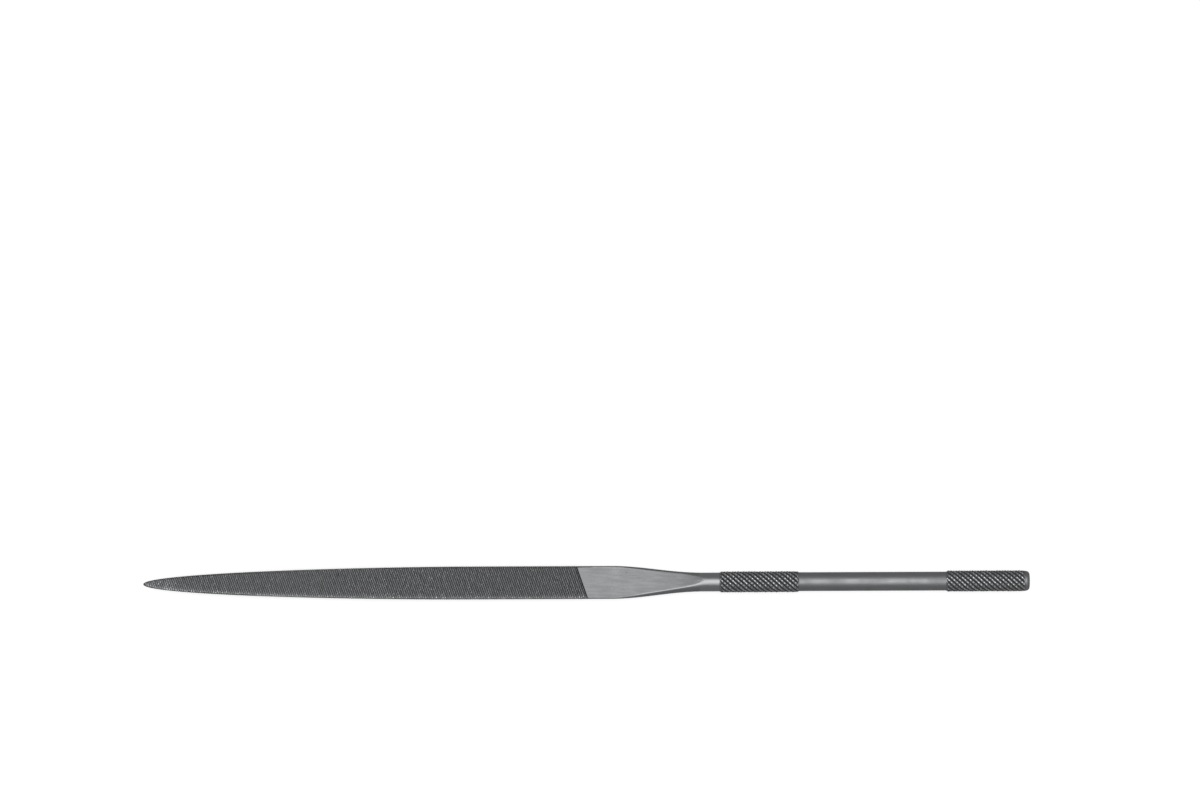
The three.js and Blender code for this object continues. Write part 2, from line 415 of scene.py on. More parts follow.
# On the knurls the near-white colour of the crests is partly wear and partly a painted highlight for their
# glints, and the near-black colour of the grooves is painted shade.
knurled_steel = steel("knurled_steel", body=(0.34, 0.345, 0.35), dark=(0.035, 0.036, 0.037),
                      bright=(0.96, 0.97, 0.98), rough=0.36, rub_rough=0.17, lines=9000, stretch=0.5,
                      slant=0.0, line_depth=2e-6, blotches=1500, wear_sheen_above=0.75, dark_below=0.48,
                      stain=0.3, streak=0.2, spread=0.4)

# %% [markdown]
# ## Closed tubes
# The shoulder, the shank and the knurled bands are all tubes: rings of points that follow one another
# along X. One function joins the rings with quads, closes both ends with a fan and unrolls the wall onto
# the map as one strip, with a small disc beside it for each end.

# %% Rings to faces
END_DISC = 0.04
STRIP_GAP = 0.01


def tube_faces(rings, fold_across):
    """rings is (r, a, 3), each turning from +Y to +Z. Returns points, faces and maps. fold_across, (r-1, a),
    splits each cell into two triangles and says along which diagonal, and None leaves the quads whole."""
    r, a = rings.shape[:2]
    row, column = np.meshgrid(np.arange(r - 1), np.arange(a), indexing="ij")
    step = np.stack([[0, 0], [0, 1], [1, 1], [1, 0]])
    rows, columns = row[..., None] + step[:, 0], column[..., None] + step[:, 1]
    wall = (rows * a + columns % a).reshape(-1, 4)
    lengths = np.linalg.norm(np.diff(rings.mean(1), axis=0), axis=1)
    along = np.concatenate([[0], np.cumsum(lengths)]) / lengths.sum()
    strip = 1 - 2 * END_DISC - 3 * STRIP_GAP
    wall_map = np.stack([along[rows], STRIP_GAP + strip * columns / a], -1).reshape(-1, 4, 2)
    if fold_across is not None:
        ways = np.where(fold_across.reshape(-1, 1), [0, 1, 3, 1, 2, 3], [0, 1, 2, 0, 2, 3])
        cell = np.arange(len(wall))[:, None]
        wall = wall[cell, ways].reshape(-1, 3)
        wall_map = wall_map[cell, ways].reshape(-1, 3, 2)
    j = np.arange(a)
    after = (j + 1) % a
    last_row = (r - 1) * a
    front = np.stack([np.full(a, r * a), after, j], 1)
    back = np.stack([np.full(a, r * a + 1), last_row + j, last_row + after], 1)
    points = np.concatenate([rings.reshape(-1, 3), rings[[0, -1]].mean(1)])
    maps = [wall_map]
    for k, (end, ring) in enumerate(((front, rings[0]), (back, rings[-1]))):
        centre = points[r * a + k]
        spread = (points[:, 1:] - centre[1:]) / np.abs(ring[:, 1:] - centre[1:]).max()
        middle = np.array([END_DISC + STRIP_GAP + k * (2 * END_DISC + STRIP_GAP), 1 - END_DISC - STRIP_GAP])
        maps.append(middle + END_DISC * spread[end])
    return points, [wall, front, back], maps


def round_rings(stations, radii, around):
    """Circles about the axis: y = r cos(angle) and z = r sin(angle), where radii is (r,) or (r, a)."""
    angle = 2 * np.pi * np.arange(around) / around
    radii = radii if np.ndim(radii) == 2 else np.reshape(radii, (-1, 1))
    radii = np.broadcast_to(radii, (len(stations), around))
    x = np.broadcast_to(TIP_X + stations[:, None], radii.shape)
    return np.stack([x, radii * np.cos(angle), AXIS_Z + radii * np.sin(angle)], -1)


def tube_piece(name, node, rings, finish, height=None, crease=30, fold_across=None):
    """height is (r, a), the relief's mark. It is 1 at both end centres, and everywhere if none is given."""
    points, faces, maps = tube_faces(rings, fold_across)
    mark = np.ones(len(points))
    if height is not None:
        mark[:-2] = height.ravel()
    make_piece(name, node, points, faces, maps, {"height": mark}, [finish], crease=crease)


# %% [markdown]
# ## The plain lengths of the shank
# The neck and the middle of the handle are drawn bar. A perfect cylinder gives a ruler-straight highlight
# that looks drawn by a computer, so the radius wanders by a few thousandths of a millimetre, as slow waves
# along and around the bar. The neck was polished together with the shoulder's flats, so it has their
# finish. The middle keeps the duller, stained skin of the bar.

# %% Neck and middle shank
SHANK_AROUND = 96
SHANK_WANDER = 0.0025 * MM
SHANK_STEP = 0.15 * MM
TRUE_END = 0.5 * MM
SLOW_WAVES = (  # length along the bar, whole waves around it, phase
    (3.1 * MM, 2, 0.4),
    (5.3 * MM, 3, 1.9),
    (8.7 * MM, 1, 2.6),
    (1.7 * MM, 5, 5.1),
)


def wander(stations, around):
    """The mean of the slow waves, each sin(2 pi station / length + waves * angle + phase)."""
    angle = 2 * np.pi * np.arange(around) / around
    total = np.zeros((len(stations), around))
    for length, waves, phase in SLOW_WAVES:
        total += np.sin(2 * np.pi * stations[:, None] / length + waves * angle + phase)
    return total / len(SLOW_WAVES)


def shank_piece(name, node, start, end, finish):
    """A cylinder that wanders inwards from its radius, and is true at both ends, where it meets its
    neighbours."""
    stations = np.linspace(start, end, round((end - start) / SHANK_STEP) + 1)
    fade = smooth((stations - start) / TRUE_END) * smooth((end - stations) / TRUE_END)
    radii = SHANK_RADIUS + SHANK_WANDER * (wander(stations, SHANK_AROUND) - 1) * fade[:, None]
    tube_piece(name, node, round_rings(stations, radii, SHANK_AROUND), finish)


shank_piece("polished_neck", "neck", NECK_START, FRONT_KNURL_START, ground_steel)
shank_piece("plain_shank", "mid_shank", MID_SHANK_START, REAR_KNURL_START, turned_steel)

# %% [markdown]
# ## The knurled bands
# A knurl is rolled: two hardened wheels press grooves of opposite hand into the bar, and the metal that
# they push aside rises into diamonds between them. Two families of triangle waves at 45 degrees give that
# shape, and the lower of the two waves is the surface. The second wheel's grooves are narrower, so the
# diamonds are longer one way and line up into ridges. No wheel bites evenly, so each diamond also loses a
# random share of its height. The grid has a fixed number of points to each wave both ways, so every groove
# lies exactly on grid lines, and each cell is folded along the groove that passes it. Fingers wear the
# crests, and a mark of its own gives them a bright colour, which is also a painted highlight for their
# glints: it stays high between the diamonds of one ridge, so the painted highlight runs almost as one line.

# %% Height of the knurl
KNURL_STARTS = 12
KNURL_STEPS = 12
KNURL_DEPTH = 0.20 * MM
NOTCH_STEEPNESS = 1.35
WORN_SHEEN_NOTCH_FLOOR = 0.80
CREST_ROUNDNESS = 0.10
UNEVEN_CRESTS = 0.32
KNURL_RUN_IN = 0.35 * MM
BUTT_RIM = 0.4 * MM
KNURL_PITCH = 0.98 * MM
PLAIN_BAR_MARK = 0.7


def triangle_wave(x):
    """0 at whole numbers and 1 halfway between them."""
    return 1 - np.abs(2 * (x % 1) - 1)


def knurl_grid(rows, around):
    """Row and column numbers. The columns start a quarter of a wave on, so that the crests seen edge-on
    from above stand in two equal rows, half a pitch apart."""
    return np.arange(rows)[:, None], np.arange(around)[None, :] + KNURL_STEPS // 4


def knurl_waves(rows, around):
    """The wave of the ridges, which fall from left to right seen from above, and the notching wave, which
    is steeper and cut off at the ridges' height."""
    row, column = knurl_grid(rows, around)
    ridge = triangle_wave((row - column) / KNURL_STEPS)
    notch = triangle_wave((row + column) / KNURL_STEPS)
    return ridge, np.minimum(1, NOTCH_STEEPNESS * notch)


def rounded(d):
    """sqrt(d^2 + e^2) - e, which is nearly d but starts with a round bottom of the size e."""
    return np.hypot(d, CREST_ROUNDNESS) - CREST_ROUNDNESS


def knurl_height(ridge, notch):
    """1 less the rounded distance of the lower wave from the top, scaled to stay between 0 and 1."""
    return 1 - rounded(1 - np.minimum(ridge, notch)) / rounded(1)


def knurl_unevenness(rows, around, seed):
    """One random share for each diamond between two grooves of each hand. A diamond is named by the sum of
    its two groove numbers, which is never below -1, and by the first of them, which starts again after
    one turn round the bar."""
    row, column = knurl_grid(rows, around)
    one, other = (row - column) // KNURL_STEPS, (row + column) // KNURL_STEPS
    table = np.random.default_rng(seed).random((2 * rows // KNURL_STEPS + 3, KNURL_STARTS))
    return table[one + other + 1, one % KNURL_STARTS]


# %% Both bands
def knurl_piece(name, node, start, end, last_radius, run_out, seed):
    """The wheels' bite is a share that grows from 0 over the run-in and falls to 0 over the run-out, between
    the plain bar and the knurl. Over its last third the plain bar goes to the last radius."""
    rows = round((end - start) / (KNURL_PITCH / KNURL_STEPS)) + 1
    around = KNURL_STARTS * KNURL_STEPS
    stations = np.linspace(start, end, rows)
    ridge, notch = knurl_waves(rows, around)
    less = UNEVEN_CRESTS * knurl_unevenness(rows, around, seed) * ridge * notch
    height = knurl_height(ridge, notch) * (1 - less)
    bite = (smooth((stations - start) / KNURL_RUN_IN) * smooth((end - stations) / run_out))[:, None]
    plain = mix(SHANK_RADIUS, last_radius, smooth((stations - start) / (end - start) * 3 - 2))[:, None]
    radii = mix(plain, CREST_RADIUS - KNURL_DEPTH * (1 - height), bite)
    # The crests' mark: their wear, and the painted highlight of their glints, highest along each ridge.
    worn_sheen = np.minimum(ridge, mix(WORN_SHEEN_NOTCH_FLOOR, 1, notch)) - less / 2
    tube_piece(name, node, round_rings(stations, radii, around), knurled_steel,
               height=mix(PLAIN_BAR_MARK, worn_sheen, bite), fold_across=(notch < ridge)[:-1])
    print(f"  {rows} rings of {around} points, {(end - start) / KNURL_PITCH:.1f} ridges along the band")


knurl_piece("front_band", "front_knurl", FRONT_KNURL_START, MID_SHANK_START, SHANK_RADIUS, KNURL_RUN_IN,
            seed=11)
knurl_piece("rear_band", "rear_knurl", REAR_KNURL_START, BUTT_START, BUTT_RADIUS, BUTT_RIM, seed=12)

# %% [markdown]
# ## The butt end
# The end of the bar is faced flat on a lathe and its rim is rounded. The rounded rim is a quarter of an
# ellipse and the flat face a set of rings that shrink towards the middle, so the whole end is one more
# tube.

# %% Butt end
BUTT_ROUNDING = 0.6 * MM
FACE_RINGS = 14
RIM_RINGS = 18
LAST_RING_RADIUS = 0.05 * MM
angle = np.linspace(0, np.pi / 2, RIM_RINGS)
rim_station = BUTT_START + (LENGTH - BUTT_START) * np.sin(angle)
rim_radius = BUTT_RADIUS - BUTT_ROUNDING * (1 - np.cos(angle))
face_radius = np.linspace(rim_radius[-1], LAST_RING_RADIUS, FACE_RINGS)[1:]
rings = round_rings(np.concatenate([rim_station, np.full(FACE_RINGS - 1, LENGTH)]),
                    np.concatenate([rim_radius, face_radius]), SHANK_AROUND)
tube_piece("rounded_butt", "butt_end", rings, turned_steel)

# %% [markdown]
# ## The shoulder
# Behind the teeth the blank is ground flat and bright, and the flats run up into the round bar like a
# tongue. Seen along the axis, the section is an oval as high as the bar, with a flat cut off its top and
# its bottom. A soft minimum of the oval and the flat rounds the corner between them by a few hundredths of
# a millimetre. One corner of each flat stays sharp, and the belt rolls the other one over, which then
# catches the light all along the tongue. Its mark polishes that corner and brightens its colour, which is
# also a painted highlight along it, and the flat's colour is darkened at the tongue's end, which is painted
# shade. The bar turns a little in the grinder's hand on its way out, so the section is twisted about the
# axis towards the neck. Just behind the teeth the edges are still squarer than an oval, as they were forged.
# The grid lines follow the corner, closer together near it.

# %% Sizes of the shoulder
SHOULDER_STEP = 0.12 * MM
EDGE_POINTS = 14
FLAT_POINTS = 14
CORNER_CROWDING = 1.8
SHARP_ROUND, ROLLED_ROUND, ROLLED_END_ROUND, RIM_ROUND = 0.03 * MM, 0.10 * MM, 0.16 * MM, 0.05 * MM
ROLLED_WIDTH = 0.16 * MM
ROLLED_REACH = 1.15
CORNER_FADE = 0.8
HIGHEST_CORNER = 0.9999
SQUARE_EDGE = 0.4
TWIST = math.radians(15)
# The tongue's end mark is low enough to darken the flat's colour there, as painted shade.
FLAT_MARK, TONGUE_PAINTED_SHADE_MARK, FLANK_MARK = 0.5, 0.25, 0.6

# A stretch is the station where a change starts and the length that it takes.
RIM_STARTS = (CUT_END, 1.5 * MM)
RIM_ENDS = (CUT_END + 4 * MM, 7 * MM)
TWIST_STRETCH = (CUT_END + 3.7 * MM, 16 * MM)
ROLLED_GROWS = (NECK_START - 12.5 * MM, 9 * MM)
SHARP_GROWS = (NECK_START - 5.5 * MM, 4 * MM)
FLANK_BRIGHTENS = (NECK_START - 4.5 * MM, 4 * MM)
# The stretch over which the tongue's end darkens, as painted shade.
TONGUE_PAINTED_SHADE = (NECK_START - 4.2 * MM, 1 * MM)
CORNER_ENDS = (NECK_START - 2 * MM, 2 * MM)


def over(stations, stretch):
    """0 before the stretch, 1 behind it and smooth along it, as a column."""
    start, length = stretch
    return smooth((stations - start) / length)[:, None]


print(f"the flats run {RAMP_LENGTH / MM:.1f} mm up to the bar, twisted by {math.degrees(TWIST):.0f} degrees")


# %% Section of the shoulder
def soft_min(a, b, width):
    """(a + b - sqrt((a - b)^2 + width^2)) / 2, the smaller of the two with a rounded change-over."""
    return (a + b - np.sqrt((a - b) ** 2 + width**2)) / 2


def quarter_angles(corner):
    """Angles from 0 over the corner to a right angle, closer together near the corner, (r, n)."""
    rising = 1 - np.linspace(1, 0, EDGE_POINTS, endpoint=False) ** CORNER_CROWDING
    falling = np.linspace(0, 1, FLAT_POINTS + 1)[1:] ** CORNER_CROWDING
    corner = corner[:, None]
    return np.concatenate([corner * rising, corner, mix(corner, np.pi / 2, falling)], 1)


def rim_share(stations):
    """1 on the first millimetres behind the teeth, where the edges are still squarer, and 0 beyond them."""
    return over(stations, RIM_STARTS) * (1 - over(stations, RIM_ENDS))


def corner_rounding(stations, rolled):
    """A sharp corner on one side of each flat and a rolled one on the other. Both grow towards the neck and
    then fade out into the bar, and both are softened a little where the edges are squarer."""
    one_side = mix(ROLLED_ROUND, ROLLED_END_ROUND, over(stations, ROLLED_GROWS))
    other_side = mix(SHARP_ROUND, ROLLED_ROUND, over(stations, SHARP_GROWS))
    fade = 1 - CORNER_FADE * over(stations, CORNER_ENDS)
    return np.where(rolled, one_side, other_side) * fade + RIM_ROUND * rim_share(stations)


def section_angles(corner):
    """The oval's angles all the way round, (r, a), made of the quarter, its mirror image and both turned."""
    quarter = quarter_angles(corner)
    half = np.concatenate([quarter, np.pi - quarter[:, -2:0:-1]], 1)
    return np.concatenate([half, half + np.pi], 1)


def shoulder_rings(stations):
    """The oval is y = width cos^power and z = radius sin of the angle, with the power below 1 where the
    edges are squarer. Its z is held down to the flat by the soft minimum, and (y, z) is then twisted."""
    width, flat = half_width(stations)[:, None], half_thickness(stations)[:, None]
    corner = np.arcsin(np.minimum(flat[:, 0] / SHANK_RADIUS, HIGHEST_CORNER))
    angle = section_angles(corner)
    power = mix(1, SQUARE_EDGE, rim_share(stations))
    oval_y = width * np.sign(np.cos(angle)) * np.abs(np.cos(angle)) ** power
    oval_z = SHANK_RADIUS * np.sin(angle)
    rolled = oval_y * oval_z < 0
    rounding = corner_rounding(stations, rolled)
    z = np.sign(oval_z) * (soft_min(np.abs(oval_z), flat, rounding) - soft_min(0, flat, rounding))
    twist = TWIST * over(stations, TWIST_STRETCH)
    y, z = oval_y * np.cos(twist) + z * np.sin(twist), z * np.cos(twist) - oval_y * np.sin(twist)
    x = np.broadcast_to(TIP_X + stations[:, None], y.shape)

    # Beside the rolled corner the mark is 1, which polishes it and brightens its colour into a painted
    # highlight along the tongue. The flat's mark falls towards the tongue's end, which paints shade there.
    flat_edge = width * np.cos(corner)[:, None] ** power
    beside = np.abs(np.abs(oval_y) - flat_edge) < ROLLED_WIDTH
    near = rolled & beside & (np.abs(oval_z) < ROLLED_REACH * flat + ROLLED_WIDTH)
    on_flank = mix(FLANK_MARK, 1.0, over(stations, FLANK_BRIGHTENS))
    on_flat = mix(FLAT_MARK, TONGUE_PAINTED_SHADE_MARK, over(stations, TONGUE_PAINTED_SHADE))
    mark = np.where(near, 1.0, np.where(np.abs(oval_z) < flat, on_flank, on_flat))
    return np.stack([x, y, AXIS_Z + z], -1), mark


# %% Shoulder
steps = round((NECK_START - CUT_END) / SHOULDER_STEP)
rings, mark = shoulder_rings(np.linspace(CUT_END, NECK_START, steps + 1))
tube_piece("ground_shoulder", "shoulder", rings, ground_steel, height=mark, crease=50)

# %% [markdown]
# ## The teeth
# A double-cut file is cut twice with a chisel. The *overcut* goes first, as shallow grooves at 45 degrees.
# The *upcut* crosses it, deeper and steeper, and throws up a row of small hooked teeth at each stroke. So
# the surface is a lattice of two line families, and the grid here is that same lattice: its columns are
# the upcut strokes, with a few points across each tooth, and its rows are the overcut grooves. Every crest,
# root and groove is then a grid line, and no point is wasted. Grid points outside the flat's outline are
# moved onto it, and triangles that lose their width that way are dropped.

# %% The columns of one face's lattice
TOOTH_SLANT = math.tan(math.radians(19))
GROOVE_SLANT = math.tan(math.radians(45))
CUT_ON_AXIS = CUT_END - 1.0 * MM
TOOTH_PITCH = 0.39 * MM
GROOVE_PITCH = 0.60 * MM
TOOTH_DEPTH = 0.13 * MM
TOOTH_PHASE = np.array([0.0, 0.14, 0.42, 0.71])
TOOTH_HEIGHT = np.array([0.0, 1.0, 0.66, 0.33])
GROOVE_PHASE = np.array([0.0, 0.22, 0.50, 0.78])
GROOVE_HEIGHT = np.array([0.40, 0.95, 1.0, 0.95])
UNSLANTED_LENGTH = 1.5 * MM
FIRST_STATION, FIRST_HEIGHT = 0.06 * MM, 0.5
GROUND_LIP = 0.05 * MM
LAST_ROOT = 0.12 * MM
GROUND_COLUMNS = 6
LEAST_GAP = 0.012 * MM
BORDER_ROUNDS = 60

teeth = round(CUT_ON_AXIS / TOOTH_PITCH)
pitch = CUT_ON_AXIS / teeth
stroke = ((np.arange(teeth)[:, None] + TOOTH_PHASE) * pitch).ravel()
stroke_height = np.tile(TOOTH_HEIGHT, teeth)
kept = (stroke > FIRST_STATION) & (stroke < CUT_ON_AXIS - LAST_ROOT - LEAST_GAP)
stroke, stroke_height = stroke[kept], stroke_height[kept]
stroke = np.concatenate([[FIRST_STATION], stroke, [CUT_ON_AXIS - LAST_ROOT, CUT_ON_AXIS]])
stroke_height = np.concatenate([[FIRST_HEIGHT], stroke_height, [0.0, 0.0]])
share = np.linspace(0, 1, GROUND_COLUMNS)
column_x = np.concatenate([stroke, mix(CUT_ON_AXIS + GROUND_LIP, CUT_END, share)])
stroke_slant = TOOTH_SLANT * np.minimum(1, stroke / UNSLANTED_LENGTH)
column_slant = np.concatenate([stroke_slant, TOOTH_SLANT * (1 - share)])
column_height = np.concatenate([stroke_height, np.ones(GROUND_COLUMNS)])
last_stroke = len(stroke) - 1
print(f"{teeth} strokes of {pitch / MM:.4f} mm in {len(column_x)} columns")


# %% Where the lattice meets the outline
def outline_crossing(side):
    """Where each column line meets the flat's outline: y = side * flat(x - slant * y), solved by putting
    the answer in again and again."""
    y = np.zeros(len(column_x))
    for _ in range(BORDER_ROUNDS):
        y = side * flat_half_width(column_x - column_slant * y)
    return y


border_plus, border_minus = outline_crossing(1), outline_crossing(-1)
reach = (GROOVE_SLANT + TOOTH_SLANT) * BLADE_HALF_WIDTH / GROOVE_PITCH
first_groove, last_groove = -math.ceil(reach), math.ceil(CUT_END / GROOVE_PITCH + reach)
grooves = last_groove - first_groove
row_groove = (np.arange(first_groove, last_groove)[:, None] + GROOVE_PHASE).ravel()
row_y = (column_x[:, None] - row_groove * GROOVE_PITCH) / (column_slant + GROOVE_SLANT)[:, None]
above = row_y >= border_plus[:, None] - LEAST_GAP
below = row_y <= border_minus[:, None] + LEAST_GAP
inside = ~(above | below)
print(f"{grooves} overcut grooves, {int(inside.sum())} lattice points on a face")

# %% Number the points and join them
columns = len(column_x)
inner = int(inside.sum())
plus_line, minus_line = inner + np.arange(columns), inner + columns + np.arange(columns)
number = np.zeros(inside.shape, int)
number[inside] = np.arange(inner)
number = np.where(above, plus_line[:, None], np.where(below, minus_line[:, None], number))
a, b, c, d = number[:-1, :-1], number[1:, :-1], number[1:, 1:], number[:-1, 1:]
cells = np.concatenate([np.stack([a, d, c], -1), np.stack([a, c, b], -1)], 1)
cell_column = np.broadcast_to(np.arange(columns - 1)[:, None], cells.shape[:2])
kept = (cells != np.roll(cells, -1, -1)).all(-1)
face_cells, cell_column = cells[kept], cell_column[kept]
print(f"{len(face_cells)} triangles on a face")

# %% Heights of the lattice points
TEETH_SEED = 7
UNEVEN_TEETH = 0.34
POINT_DEPTH_SHARE = 0.35
FULL_DEPTH_STATION = 9 * MM
BORDER_DROP, BORDER_DROP_RISE = 0.015 * MM, 1 * MM
# Near the border at -Y the mark is raised, so the teeth there take the bright crest colour: a painted
# highlight along that side.
LOWER_BORDER_SHEEN, LOWER_BORDER_SHEEN_WIDTH = 0.35, 0.25 * MM
unevenness = np.random.default_rng(TEETH_SEED).random((columns + 1, grooves + 2))


def groove_height(groove):
    """Straight lines between the heights at the groove's phases, repeated for each groove."""
    return np.interp(groove % 1, np.append(GROOVE_PHASE, 1), np.append(GROOVE_HEIGHT, GROOVE_HEIGHT[0]))


def tooth_height(column, groove):
    """The lower of the upcut and the overcut, less a random share that is the same over one tooth."""
    tooth = np.minimum((column + len(TOOTH_PHASE) - 1) // len(TOOTH_PHASE), columns)
    strip = np.clip(np.floor(groove).astype(int) - first_groove, 0, grooves)
    less = UNEVEN_TEETH * unevenness[tooth, strip]
    cut = np.minimum(column_height[column], groove_height(groove)) * (1 - less)
    return np.where(column > last_stroke, 1.0, cut)


def cut_depth(station):
    """Full depth on most of the blade, and about a third of it at the point."""
    return TOOTH_DEPTH * mix(POINT_DEPTH_SHARE, 1, smooth(station / FULL_DEPTH_STATION))


def on_face(column, y, groove, drop):
    """Point and height mark of a face's point. Its z is the flat's height less the cut's depth there. Its
    mark is the tooth's height plus a painted highlight along the border at -Y, which dies away from it as
    exp(-distance)."""
    station = column_x[column] - column_slant[column] * y
    height = tooth_height(column, groove)
    border_drop = drop * clamp01(station / BORDER_DROP_RISE)
    z = half_thickness(station) - cut_depth(station) * (1 - height) - border_drop
    mark = height + LOWER_BORDER_SHEEN * np.exp(-(y + flat_half_width(station)) / LOWER_BORDER_SHEEN_WIDTH)
    return np.stack([TIP_X + station, y, z], 1), np.where(column > last_stroke, FLAT_MARK, mark)


inner_column, inner_row = np.nonzero(inside)
all_columns = np.arange(columns)
parts = [on_face(inner_column, row_y[inside], row_groove[inner_row], 0.0)]
for border in (border_plus, border_minus):
    groove = (column_x - (column_slant + GROOVE_SLANT) * border) / GROOVE_PITCH
    parts.append(on_face(all_columns, border, groove, BORDER_DROP))
face_points, face_height = (np.concatenate(both) for both in zip(*parts))
print(f"teeth stand {TOOTH_DEPTH / MM:.2f} mm over their roots, mean height {face_height.mean():.2f}")

# %% [markdown]
# ## The blade's edges
# The narrow sides of a flat file are cut as well, but once only, straight across. The chisel throws the
# metal up there too, so the edge's crests stand a little outside the ground edge. Each edge is a grid of
# its own: columns for the strokes, and rows that follow it round from one flat to the other. Its
# points don't match the faces' points, so the gap between them is closed like a zip: going along both
# lines together, each step on one line makes a triangle with the point that the other line has reached.

# %% Grid of one edge
EDGE_ROWS = np.array([0.86, 0.5, 0.0, -0.5, -0.86])
EDGE_DEPTH, EDGE_RISE = 0.045 * MM, 0.045 * MM
EDGE_FULL_STATION = 4 * MM
EDGE_RUN_OUT = 0.15 * MM
edge_tooth = np.arange(math.ceil(CUT_END / pitch))
edge_x = ((edge_tooth[:, None] + TOOTH_PHASE) * pitch).ravel()
edge_stroke = np.tile(TOOTH_HEIGHT, len(edge_tooth))
edge_kept = (edge_x > FIRST_STATION) & (edge_x < CUT_END - LEAST_GAP)
edge_x = np.concatenate([[FIRST_STATION], edge_x[edge_kept], [CUT_END]])
edge_stroke = np.concatenate([[1.0], edge_stroke[edge_kept], [1.0]])
width, thickness = half_width(edge_x), half_thickness(edge_x)
corner = np.arccos(flat_half_width(edge_x) / width)
angle = corner[:, None] * EDGE_ROWS
edge_z = (thickness / np.sin(corner))[:, None] * np.sin(angle)
cut_end_plus = CUT_ON_AXIS - TOOTH_SLANT * border_plus[last_stroke]
cut_end_minus = CUT_ON_AXIS - TOOTH_SLANT * border_minus[last_stroke]
cut_line = mix(cut_end_minus, cut_end_plus, (1 + edge_z / thickness[:, None]) / 2)
toothed = smooth((cut_line - edge_x[:, None]) / EDGE_RUN_OUT)
edge_height = 1 - (1 - edge_stroke[:, None]) * toothed
edge_cut = EDGE_DEPTH * (1 - edge_height) - EDGE_RISE * edge_height * toothed
edge_y = width[:, None] * np.cos(angle) - clamp01(edge_x / EDGE_FULL_STATION)[:, None] * edge_cut
edge_points = np.stack([np.broadcast_to(TIP_X + edge_x[:, None], edge_y.shape), edge_y, edge_z], -1)
print(f"{len(edge_x)} x {len(EDGE_ROWS)} points on an edge")


# %% Zip
def zip_lines(upper, upper_x, lower, lower_x):
    """Triangles between two lines of points that both run towards +X, upper above lower seen from +Y."""
    reached = np.clip(np.searchsorted(lower_x, upper_x[1:], side="right") - 1, 0, None)
    hanging = np.stack([upper[:-1], upper[1:], lower[reached]], 1)
    reached = np.clip(np.searchsorted(upper_x, lower_x[1:], side="left") - 1, 0, None)
    standing = np.stack([lower[:-1], upper[reached], lower[1:]], 1)
    return np.concatenate([hanging, standing])


# %% [markdown]
# ## Closing the blade
# The upper face and one edge are half of the skin. The other half is the same half turned through 180
# degrees about the file's axis, which gives the lower face teeth of the right hand. Each half zips onto
# the other, and a fan closes the nose and another the back, where the shoulder begins.

# %% The two halves of the blade
half_count = len(face_points) + edge_points.shape[0] * edge_points.shape[1]
edge_number = len(face_points) + np.arange(edge_x.size * len(EDGE_ROWS)).reshape(edge_x.size, -1)
plus_x = face_points[plus_line, 0] - TIP_X
minus_x = face_points[minus_line, 0] - TIP_X
a, b, c, d = edge_number[:-1, :-1], edge_number[1:, :-1], edge_number[1:, 1:], edge_number[:-1, 1:]
edge_wall = np.stack([a, b, c, d], -1).reshape(-1, 4)
edge_faces = np.concatenate([
    edge_wall[:, [0, 1, 2]], edge_wall[:, [0, 2, 3]],
    zip_lines(plus_line, plus_x, edge_number[:, 0], edge_x),
    zip_lines(edge_number[:, -1], edge_x, minus_line + half_count, minus_x)])
half_points = np.concatenate([face_points, edge_points.reshape(-1, 3)])
end_centres = [[TIP_X, 0, 0], [TIP_X + CUT_END, 0, 0]]
blade_points = np.concatenate([half_points, half_points * [1, -1, -1], end_centres]) + [0, 0, AXIS_Z]
edge_mark = np.where(toothed > 0, edge_height, FLANK_MARK)
half_marks = np.concatenate([face_height, edge_mark.ravel()])
blade_marks = np.concatenate([half_marks, half_marks, [FLANK_MARK, FLAT_MARK]])
print(f"{len(blade_points)} points on the blade")


# %% The blade's faces
def turned_over(ids):
    """The same points of the other half."""
    return (ids + half_count) % (2 * half_count)


def end_ring(column, edge_column):
    """All points of the section at one end, turning from +Y to +Z."""
    half_ring = np.concatenate([plus_line[[column]], number[column][inside[column]], minus_line[[column]],
                                turned_over(edge_number[edge_column, ::-1])])
    return np.concatenate([half_ring, turned_over(half_ring)])


nose_ring, back_ring = end_ring(0, 0), end_ring(-1, -1)
nose = np.stack([np.full(len(nose_ring), 2 * half_count), np.roll(nose_ring, -1), nose_ring], 1)
back = np.stack([np.full(len(back_ring), 2 * half_count + 1), back_ring, np.roll(back_ring, -1)], 1)
blade_faces = [face_cells, edge_faces, turned_over(face_cells), turned_over(edge_faces), nose, back]
print(f"{len(nose)} faces close the nose and {len(back)} the back")

# %% Which faces are ground
edge_middle = blade_points[edge_faces].mean(1)
share = (1 + (edge_middle[:, 2] - AXIS_Z) / half_thickness(edge_middle[:, 0] - TIP_X)) / 2
edge_ground = edge_middle[:, 0] - TIP_X > mix(cut_end_minus, cut_end_plus, clamp01(share))
face_ground = cell_column > last_stroke
half_ground = [face_ground, edge_ground]
ground = [*half_ground, *half_ground, np.zeros(len(nose), bool), np.ones(len(back), bool)]
print(f"{int(sum(g.sum() for g in ground))} of {sum(len(g) for g in ground)} faces are ground")

# %% Map of the blade: its four sides in two lengths, laid out in rows
MAP_GAP = 0.3 * MM
HALF_LENGTH = CUT_END / 2
side_height = {"face": 2 * BLADE_HALF_WIDTH + MAP_GAP, "edge": 2 * BLADE_HALF_THICKNESS + MAP_GAP}
row_height = 2 * (side_height["face"] + side_height["edge"])
map_height = 2 * row_height + 2 * side_height["edge"]
map_width = HALF_LENGTH + 2 * TOOTH_PITCH


